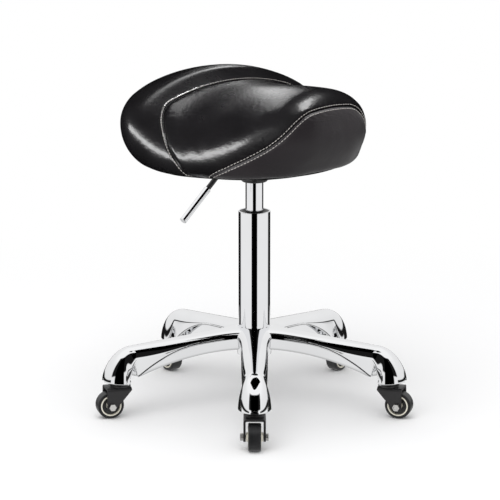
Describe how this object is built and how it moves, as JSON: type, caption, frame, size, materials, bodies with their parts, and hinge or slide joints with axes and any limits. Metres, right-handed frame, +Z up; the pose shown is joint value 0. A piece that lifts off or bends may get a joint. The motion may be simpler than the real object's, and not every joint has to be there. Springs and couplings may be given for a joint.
{
  "type": "rolling saddle stool",
  "caption": "Saddle-shaped padded seat on a gas lift column, with a height lever and a cast star base on swivel castors.",
  "frame": {"origin": "on the floor under the column's axis", "axes": "+Z up along the column; -Y along the front leg; the saddle's front points to +X -Y"},
  "size_m": [0.4966, 0.4727, 0.5336],
  "materials": {
    "cast_alloy": "polished and plated",
    "chromed_steel": "polished",
    "zinc_steel": "zinc plated",
    "black_steel": "satin black coat",
    "black_plastic": "moulded",
    "cream_plastic": "moulded",
    "tyre_black": "smooth",
    "rubber": "smooth",
    "leather_glossy": "smooth, semi-gloss",
    "leather_matte": "smooth, dull",
    "under_fabric": "woven",
    "foam": "moulded foam",
    "plywood": "plain"
  },
  "bodies": {
    "base": {"star_base": "cast_alloy", "castor_stems": "zinc_steel", "castor_caps": "black_plastic", "stand_tube": "chromed_steel", "guide_bush": "black_plastic", "foot_plate": "zinc_steel", "thrust_washer_lower": "zinc_steel", "thrust_balls": "zinc_steel"},
    "lift_rod": {"piston_rod": "zinc_steel", "piston": "black_plastic", "thrust_washer_upper": "zinc_steel", "rod_clip": "zinc_steel", "bumper": "rubber"},
    "seat": {"pressure_tube": "chromed_steel", "rod_guide": "black_plastic", "seat_socket": "black_steel", "seat_plate": "black_steel", "plate_bolts": "zinc_steel", "tee_nuts": "zinc_steel", "seat_board": "plywood", "foam_core": "foam", "cover_rear": "leather_glossy", "cover_middle": "leather_glossy", "cover_front": "leather_matte", "under_cover": "under_fabric", "lever_bracket": "black_steel"},
    "lever": {"lever_rod": "black_steel", "lever_sleeve": "chromed_steel", "lever_pin": "zinc_steel"},
    "release": {"release_pin": "zinc_steel"},
    "fork_1": {"castor_fork_1": "black_steel", "castor_axle_bolt_1": "zinc_steel"},
    "wheel_1": {"castor_tyre_1": "tyre_black", "castor_rim_1": "cream_plastic", "castor_hub_caps_1": "black_plastic"},
    "fork_2": {"castor_fork_2": "black_steel", "castor_axle_bolt_2": "zinc_steel"},
    "wheel_2": {"castor_tyre_2": "tyre_black", "castor_rim_2": "cream_plastic", "castor_hub_caps_2": "black_plastic"},
    "fork_3": {"castor_fork_3": "black_steel", "castor_axle_bolt_3": "zinc_steel"},
    "wheel_3": {"castor_tyre_3": "tyre_black", "castor_rim_3": "cream_plastic", "castor_hub_caps_3": "black_plastic"},
    "fork_4": {"castor_fork_4": "black_steel", "castor_axle_bolt_4": "zinc_steel"},
    "wheel_4": {"castor_tyre_4": "tyre_black", "castor_rim_4": "cream_plastic", "castor_hub_caps_4": "black_plastic"},
    "fork_5": {"castor_fork_5": "black_steel", "castor_axle_bolt_5": "zinc_steel"},
    "wheel_5": {"castor_tyre_5": "tyre_black", "castor_rim_5": "cream_plastic", "castor_hub_caps_5": "black_plastic"}
  },
  "joints": [
    {"name": "seat_swivel", "type": "hinge", "parent": "base", "child": "lift_rod", "pos_m": [0, 0, 0.078], "axis": [0, 0, 1], "continuous": true},
    {"name": "seat_lift", "type": "slide", "parent": "lift_rod", "child": "seat", "axis": [0, 0, 1], "range_m": [-0.03, 0.09]},
    {"name": "lever_tilt", "type": "hinge", "parent": "seat", "child": "lever", "pos_m": [-0.0198, -0.0198, 0.396], "axis": [-0.7071, 0.7071, 0], "range_deg": [0, 5], "stiffness_Nm_per_rad": 2},
    {"name": "release_press", "type": "slide", "parent": "seat", "child": "release", "axis": [0, 0, -1], "range_m": [0, 0.0025]},
    {"name": "castor_swivel_1", "type": "hinge", "parent": "base", "child": "fork_1", "pos_m": [0, -0.2205, 0.05], "axis": [0, 0, 1], "continuous": true},
    {"name": "wheel_spin_1", "type": "hinge", "parent": "fork_1", "child": "wheel_1", "pos_m": [0, -0.238, 0.021], "axis": [1, 0, 0], "continuous": true},
    {"name": "castor_swivel_2", "type": "hinge", "parent": "base", "child": "fork_2", "pos_m": [0.20971, -0.06814, 0.05], "axis": [0, 0, 1], "continuous": true},
    {"name": "wheel_spin_2", "type": "hinge", "parent": "fork_2", "child": "wheel_2", "pos_m": [0.22635, -0.07355, 0.021], "axis": [0.309, 0.9511, 0], "continuous": true},
    {"name": "castor_swivel_3", "type": "hinge", "parent": "base", "child": "fork_3", "pos_m": [0.12961, 0.17839, 0.05], "axis": [0, 0, 1], "continuous": true},
    {"name": "wheel_spin_3", "type": "hinge", "parent": "fork_3", "child": "wheel_3", "pos_m": [0.13989, 0.19255, 0.021], "axis": [-0.809, 0.5878, 0], "continuous": true},
    {"name": "castor_swivel_4", "type": "hinge", "parent": "base", "child": "fork_4", "pos_m": [-0.12961, 0.17839, 0.05], "axis": [0, 0, 1], "continuous": true},
    {"name": "wheel_spin_4", "type": "hinge", "parent": "fork_4", "child": "wheel_4", "pos_m": [-0.13989, 0.19255, 0.021], "axis": [-0.809, -0.5878, 0], "continuous": true},
    {"name": "castor_swivel_5", "type": "hinge", "parent": "base", "child": "fork_5", "pos_m": [-0.20971, -0.06814, 0.05], "axis": [0, 0, 1], "continuous": true},
    {"name": "wheel_spin_5", "type": "hinge", "parent": "fork_5", "child": "wheel_5", "pos_m": [-0.22635, -0.07355, 0.021], "axis": [0.309, -0.9511, 0], "continuous": true}
  ],
  "couplings": [
    {"joint": "release_press", "follows": "lever_tilt", "m_per_rad": 0.028}
  ]
}
